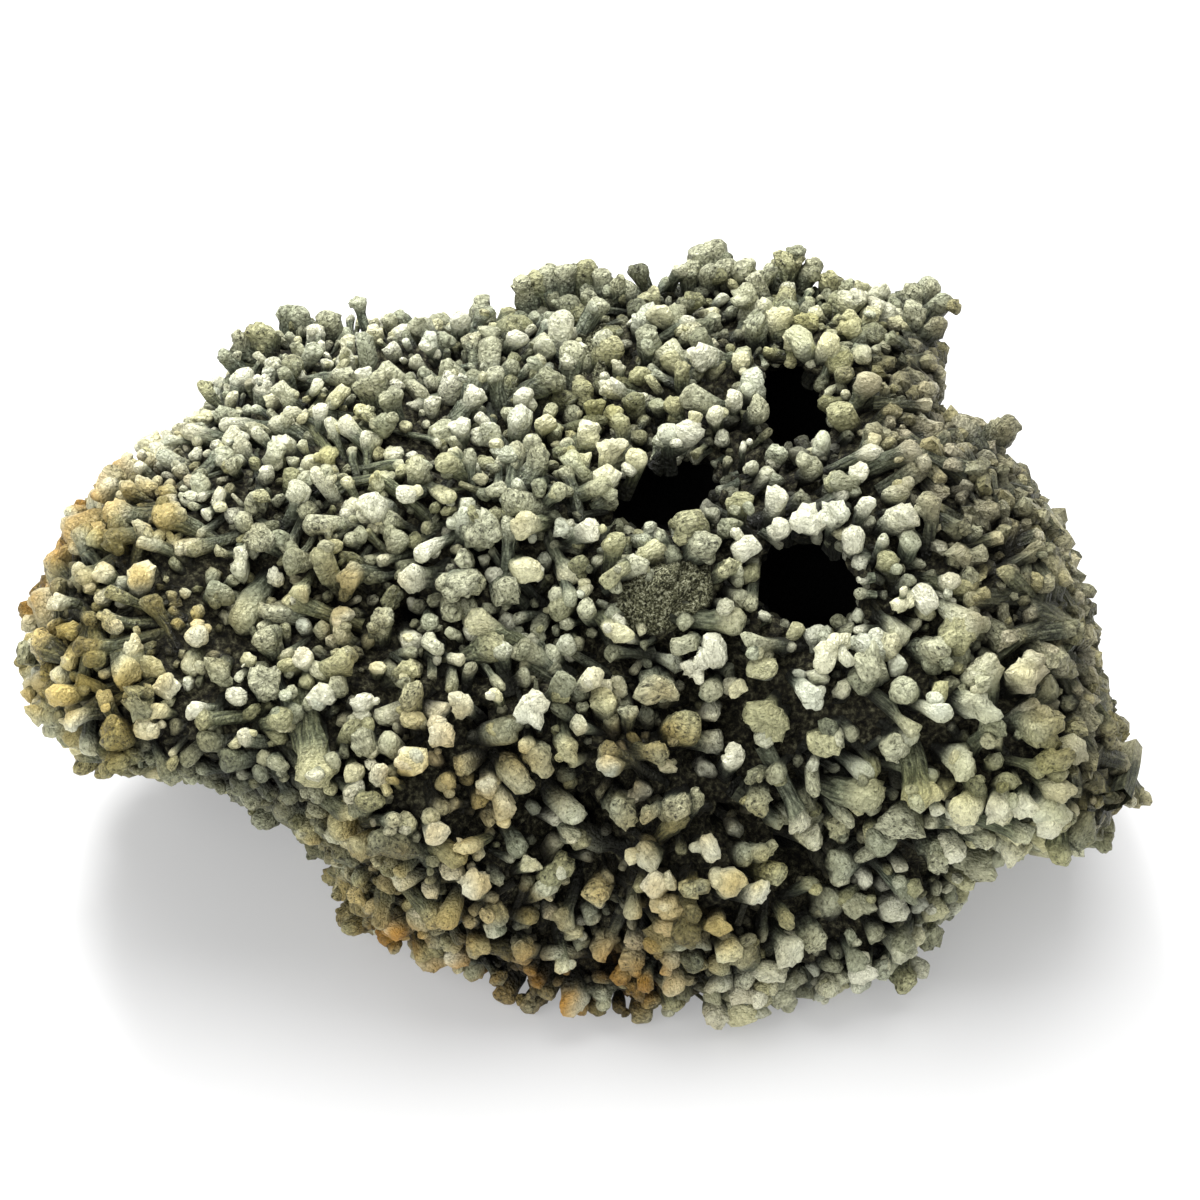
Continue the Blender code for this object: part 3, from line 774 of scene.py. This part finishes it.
def vug_lining():
    """Small fingers on the walls of the vugs, near their mouths, and how deep each one is."""
    rng = np.random.default_rng(SEED + 60)
    feet, tips, depths = [], [], []
    for vug in VUGS:
        mouth, inward, along, across = vug_frame(vug)
        angle = rng.uniform(0, 2 * math.pi, LINING_TRIES)
        wall = along * np.cos(angle)[:, None] + across * np.sin(angle)[:, None]
        steps = np.arange(-25.0, 30.0, 0.5)
        lines = mouth + wall[:, None, :] + inward * steps[:, None]
        over = height_over_crust(lines.reshape(-1, 3)).reshape(len(angle), -1)
        depth = rng.uniform(0.0, LINING_DEPTH, len(angle))
        down = steps[np.argmax(over < -2.0, axis=1)] + depth
        middle, reach = vug[5] / 2 - VUG_START, vug[5] / 2 + VUG_START
        gape = np.clip(1 - ((down - middle) / reach) ** 2, 0.1, 1) ** 0.25
        foot = mouth + wall * gape[:, None] + inward * down[:, None]
        picked = spaced_out(foot, LINING_SPACING)
        sideways = unit(-wall[picked])
        heading = unit(sideways - 0.3 * inward + 0.45 * rng.normal(size=sideways.shape))
        feet.append(foot[picked] - sideways * LINING_ROOT)
        tips.append(foot[picked] + heading * rng.uniform(*LINING_LENGTH, (len(picked), 1)))
        depths.append(depth[picked])
    tip = np.concatenate(tips)
    fingers = Fingers(np.concatenate(feet), tip, rng.uniform(*LINING_CAP, len(tip)), rng)
    return fingers, np.concatenate(depths)


def cut_vugs(piece):
    """Cut the vugs out of the crust for good, and delete the cutters."""
    cutters = [vug_cutter(number, vug) for number, vug in enumerate(VUGS)]
    for cutter in cutters:
        cut = piece.modifiers.new(cutter.name, "BOOLEAN")
        cut.operation = "DIFFERENCE"
        cut.object = cutter
    depsgraph = bpy.context.evaluated_depsgraph_get()
    mesh = bpy.data.meshes.new_from_object(piece.evaluated_get(depsgraph))
    piece.modifiers.clear()
    piece.data = mesh
    mesh.shade_smooth()
    places = np.array([vert.co[:] for vert in mesh.vertices]) / MM
    # How deep each point lies under the boulder's surface, which sets the painted shade in the vugs.
    deep = mesh.attributes.new("deep", "FLOAT", "POINT")
    deep.data.foreach_set("value", (-height_over_crust(places)).astype(np.float32))
    for cutter in cutters:
        bpy.data.objects.remove(cutter)


lining, lining_depth = vug_lining()


def lining_height(mesh_points):
    """The height that sets the lining's painted shade, which falls with depth, so that deep ones are shaded
    dark.
    """
    return np.repeat(LINING_HEIGHT - LINING_FADE * lining_depth, len(mesh_points) // len(lining_depth))


grow("vug_fingers", lining, 8, 4, True, lining_height)
crust_piece = crust()
cut_vugs(crust_piece)
pieces.append(crust_piece)


class Shader:
    """A short way to write a material's nodes."""

    def __init__(self, name):
        self.material = bpy.data.materials.new(name)
        self.material.use_nodes = True
        self.tree = self.material.node_tree
        self.surface = self.tree.nodes["Principled BSDF"]

    def node(self, kind, **settings):
        made = self.tree.nodes.new(kind)
        for name, value in settings.items():
            setattr(made, name, value)
        return made

    def link(self, source, target):
        self.tree.links.new(source, target)

    def value(self, name):
        return self.node("ShaderNodeAttribute", attribute_name=name).outputs["Fac"]

    def vector(self, name):
        return self.node("ShaderNodeAttribute", attribute_name=name).outputs["Vector"]

    def noise(self, vector, scale, detail, rough):
        made = self.node("ShaderNodeTexNoise")
        self.link(vector, made.inputs["Vector"])
        made.inputs["Scale"].default_value = scale
        made.inputs["Detail"].default_value = detail
        made.inputs["Roughness"].default_value = rough
        return made.outputs["Fac"]

    def cells(self, vector, scale):
        """Distance from the middles of irregular cells, which stand for small crystals."""
        made = self.node("ShaderNodeTexVoronoi")
        self.link(vector, made.inputs["Vector"])
        made.inputs["Scale"].default_value = scale
        return made.outputs["Distance"]

    def ramp(self, source, stops):
        made = self.node("ShaderNodeValToRGB")
        self.link(source, made.inputs["Fac"])
        ramp = made.color_ramp
        ramp.elements[0].position, ramp.elements[0].color = stops[0][0], shade(stops[0][1])
        ramp.elements[1].position, ramp.elements[1].color = stops[-1][0], shade(stops[-1][1])
        for position, colour in stops[1:-1]:
            ramp.elements.new(position).color = shade(colour)
        return made.outputs["Color"]

    def blend(self, share, first, second, kind="MIX"):
        made = self.node("ShaderNodeMix", data_type="RGBA", blend_type=kind)
        for source, name in ((share, 0), (first, 6), (second, 7)):
            if isinstance(source, (int, float)):
                made.inputs[name].default_value = source
            elif isinstance(source, tuple):
                made.inputs[name].default_value = shade(source)
            else:
                self.link(source, made.inputs[name])
        return made.outputs[2]

    def math(self, operation, first, second):
        made = self.node("ShaderNodeMath", operation=operation)
        for source, name in ((first, 0), (second, 1)):
            if isinstance(source, (int, float)):
                made.inputs[name].default_value = source
            else:
                self.link(source, made.inputs[name])
        return made.outputs[0]

    def span(self, source, low, high, out_low=0.0, out_high=1.0):
        made = self.node("ShaderNodeMapRange", interpolation_type="SMOOTHSTEP")
        self.link(source, made.inputs["Value"])
        made.inputs["From Min"].default_value = low
        made.inputs["From Max"].default_value = high
        made.inputs["To Min"].default_value = out_low
        made.inputs["To Max"].default_value = out_high
        return made.outputs["Result"]

    def bump(self, height, strength, distance):
        made = self.node("ShaderNodeBump")
        made.inputs["Strength"].default_value = strength
        made.inputs["Distance"].default_value = distance
        self.link(height, made.inputs["Height"])
        return made.outputs["Normal"]


def shade(colour):
    """A colour given in screen values from 0 to 255, as the renderer wants it."""
    linear = []
    for channel in colour:
        value = channel / 255
        linear.append(value / 12.92 if value <= 0.04045 else ((value + 0.055) / 1.055) ** 2.4)
    return (*linear, 1.0)


# Stains of the colour zones: how strong each is, and what it leaves of the white
ZONE_STAINS = [
    ("tan", 0.8, (232, 206, 156)),
    ("yellow", 0.5, (240, 234, 184)),
    ("rust", 0.9, (216, 170, 84)),
    ("dark", 0.9, (192, 183, 168)),
]


def finger_material():
    """Pale cream-green caps, grey-green fibrous shafts, painted shade at the feet, and the zones' stains."""
    shader = Shader("prehnite_fingers")
    grain = shader.vector("grain")
    stretch = shader.node("ShaderNodeVectorMath", operation="MULTIPLY")
    shader.link(grain, stretch.inputs[0])
    stretch.inputs[1].default_value = (1.0, 1.0, 0.14)
    fibres = shader.noise(stretch.outputs[0], 1.5, 1.0, 0.6)
    sugar = shader.noise(grain, 0.9, 3.0, 0.7)
    uneven = shader.node("ShaderNodeVectorMath", operation="MULTIPLY_ADD")
    shader.link(sugar, uneven.inputs[0])
    uneven.inputs[1].default_value = (3.0, -2.0, 2.5)
    shader.link(grain, uneven.inputs[2])
    crystals = shader.cells(uneven.outputs[0], 1.05)
    crusted = shader.value("crusted")
    tone = shader.math("MULTIPLY", shader.value("pale"), 0.52)
    tone = shader.math("ADD", tone, shader.math("MULTIPLY", sugar, 0.66))
    tone = shader.math("SUBTRACT", tone, shader.math("MULTIPLY", crusted, 0.14))
    cap = shader.ramp(
        tone,
        [(0.16, (104, 107, 83)), (0.34, (162, 164, 133)), (0.54, (216, 217, 183)), (0.75, (250, 250, 222))],
    )
    shaft = shader.ramp(fibres, [(0.3, (58, 63, 50)), (0.5, (112, 119, 98)), (0.72, (166, 172, 146))])
    wander = shader.math("MULTIPLY", shader.math("SUBTRACT", sugar, 0.5), 1.6)
    down = shader.math("ADD", shader.value("below_tip"), wander)
    colour = shader.blend(shader.span(down, 0.7, 2.3), cap, shaft)
    mark = shader.value("mark")
    colour = shader.blend(shader.span(mark, 0.35, 0.1, 0.0, 0.5), colour, (212, 221, 224), "MULTIPLY")
    colour = shader.blend(shader.span(mark, 0.65, 0.9, 0.0, 0.5), colour, (250, 244, 200), "MULTIPLY")
    for zone, share, stain in ZONE_STAINS:
        share = shader.math("MULTIPLY", shader.value(zone), share)
        colour = shader.blend(share, colour, stain, "MULTIPLY")
    # Darker creases between the small crystals and dark pits, where the bump dips: painted shade, and dark
    # crust on crusted caps.
    creases = shader.span(crystals, 0.45, 0.8)
    creases = shader.math("MULTIPLY", creases, shader.span(crusted, -0.2, 1.0))
    colour = shader.blend(shader.math("MULTIPLY", creases, 0.6), colour, (56, 55, 40))
    pitted = shader.span(crusted, -0.3, 1.0, 0.15, 0.8)
    pits = shader.math("MULTIPLY", shader.span(sugar, 0.44, 0.34), pitted)
    colour = shader.blend(pits, colour, (30, 28, 18))
    # Painted shade: the lower a point stands over the crust, the nearer its colour comes to black.
    foot = shader.span(shader.value("height"), 4.0, -3.0)
    colour = shader.blend(shader.math("MULTIPLY", foot, 0.93), colour, (15, 14, 9))
    shader.link(colour, shader.surface.inputs["Base Color"])
    shader.surface.inputs["Roughness"].default_value = 0.5
    shader.surface.inputs["Specular IOR Level"].default_value = 0.3
    height = shader.math("ADD", sugar, shader.math("MULTIPLY", fibres, 0.4))
    height = shader.math("SUBTRACT", height, shader.math("MULTIPLY", crystals, 0.8))
    shader.link(shader.bump(height, 0.9, 0.0013), shader.surface.inputs["Normal"])
    return shader.material


def crust_material():
    """Dark olive to brown crust, pitted and sugary, rusty and brown where the photograph is."""
    shader = Shader("prehnite_crust")
    place = shader.node("ShaderNodeTexCoord").outputs["Object"]
    sugar = shader.noise(place, 700.0, 3.0, 0.6)
    colour = shader.ramp(
        sugar, [(0.35, (12, 11, 7)), (0.5, (40, 38, 27)), (0.62, (78, 76, 58)), (0.75, (120, 118, 94))]
    )
    colour = shader.blend(shader.value("rust"), colour, (200, 150, 90), "MULTIPLY")
    fine_sugar = shader.noise(place, 1300.0, 2.0, 0.75)
    colour = shader.blend(shader.value("bare"), colour, olive_sugar(shader, fine_sugar))
    # Painted shade deep in the vugs: the crust turns near black the deeper it lies under the boulder's
    # surface.
    colour = shader.blend(shader.span(shader.value("deep"), 6.5, 11.0), colour, (4, 4, 3))
    shader.link(colour, shader.surface.inputs["Base Color"])
    shader.surface.inputs["Roughness"].default_value = 0.85
    shader.surface.inputs["Specular IOR Level"].default_value = 0.2
    shader.link(shader.bump(fine_sugar, 0.9, 0.0014), shader.surface.inputs["Normal"])
    return shader.material


def olive_sugar(shader, sugar):
    """The olive crust of the bare patches."""
    return shader.ramp(
        sugar, [(0.36, (16, 17, 8)), (0.46, (66, 66, 46)), (0.55, (108, 108, 82)), (0.68, (186, 186, 158))]
    )


finger_look = finger_material()
crust_look = crust_material()
for piece in pieces:
    piece.data.materials.clear()
    piece.data.materials.append(crust_look if piece is crust_piece else finger_look)
    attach(piece, BODY)
    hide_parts(NODE)


def floor():
    """A plain white table top."""
    bm = bmesh.new()
    bmesh.ops.create_grid(bm, x_segments=1, y_segments=1, size=6.0)
    mesh = bpy.data.meshes.new("floor")
    bm.to_mesh(mesh)
    bm.free()
    table = bpy.data.objects.new("floor", mesh)
    bpy.context.scene.collection.objects.link(table)
    shader = Shader("floor")
    shader.surface.inputs["Base Color"].default_value = shade((205, 205, 205))
    shader.surface.inputs["Roughness"].default_value = 0.9
    shader.surface.inputs["Specular IOR Level"].default_value = 0.0
    shader.surface.inputs["Emission Color"].default_value = (1.0, 1.0, 1.0, 1.0)
    shader.surface.inputs["Emission Strength"].default_value = 0.3
    mesh.materials.append(shader.material)


def camera():
    """The photograph's viewing angle and framing."""
    shift_right = (PHOTO_SIZE / 2 - HEART_PIXEL[0]) * MM_PER_PIXEL
    shift_up = (HEART_PIXEL[1] - PHOTO_SIZE / 2) * MM_PER_PIXEL
    place = HEART + RIGHT * shift_right + UP * shift_up + TOWARD * VIEW_DISTANCE
    lens = bpy.data.cameras.new("camera")
    lens.sensor_width = 36.0
    lens.lens = lens.sensor_width * VIEW_DISTANCE / (MM_PER_PIXEL * PHOTO_SIZE)
    lens.clip_start = 0.01
    viewer = bpy.data.objects.new("camera", lens)
    turn = np.stack([RIGHT, UP, TOWARD], axis=1)
    viewer.matrix_world = Matrix.Translation(Vector(place * MM)) @ Matrix(turn.tolist()).to_4x4()
    bpy.context.scene.collection.objects.link(viewer)
    bpy.context.scene.camera = viewer


def area_light(name, place, size, power):
    """A soft square lamp that faces the specimen."""
    lamp = bpy.data.lights.new(name, "AREA")
    lamp.size = size
    lamp.energy = power
    light = bpy.data.objects.new(name, lamp)
    light.location = place
    aim = Vector((0, 0, 0.05)) - Vector(place)
    light.rotation_euler = aim.to_track_quat("-Z", "Y").to_euler()
    bpy.context.scene.collection.objects.link(light)


def studio():
    """Soft window light from above and behind on the left, and a white room."""
    area_light("key", (-0.35, 0.85, 1.2), 0.45, 22.0)
    area_light("overhead", (0.0, 0.15, 1.6), 1.3, 24.0)
    area_light("fill", (-0.7, -0.95, 0.75), 1.2, 7.0)
    world = bpy.data.worlds.new("room")
    world.use_nodes = True
    glow = world.node_tree.nodes["Background"].inputs
    glow["Color"].default_value = (1.0, 1.0, 1.0, 1.0)
    glow["Strength"].default_value = 0.55
    bpy.context.scene.world = world
    paths = bpy.context.scene.cycles
    paths.max_bounces = 2
    paths.diffuse_bounces = 1
    paths.glossy_bounces = 1
    bpy.context.scene.view_settings.view_transform = "Standard"


floor()
camera()
studio()
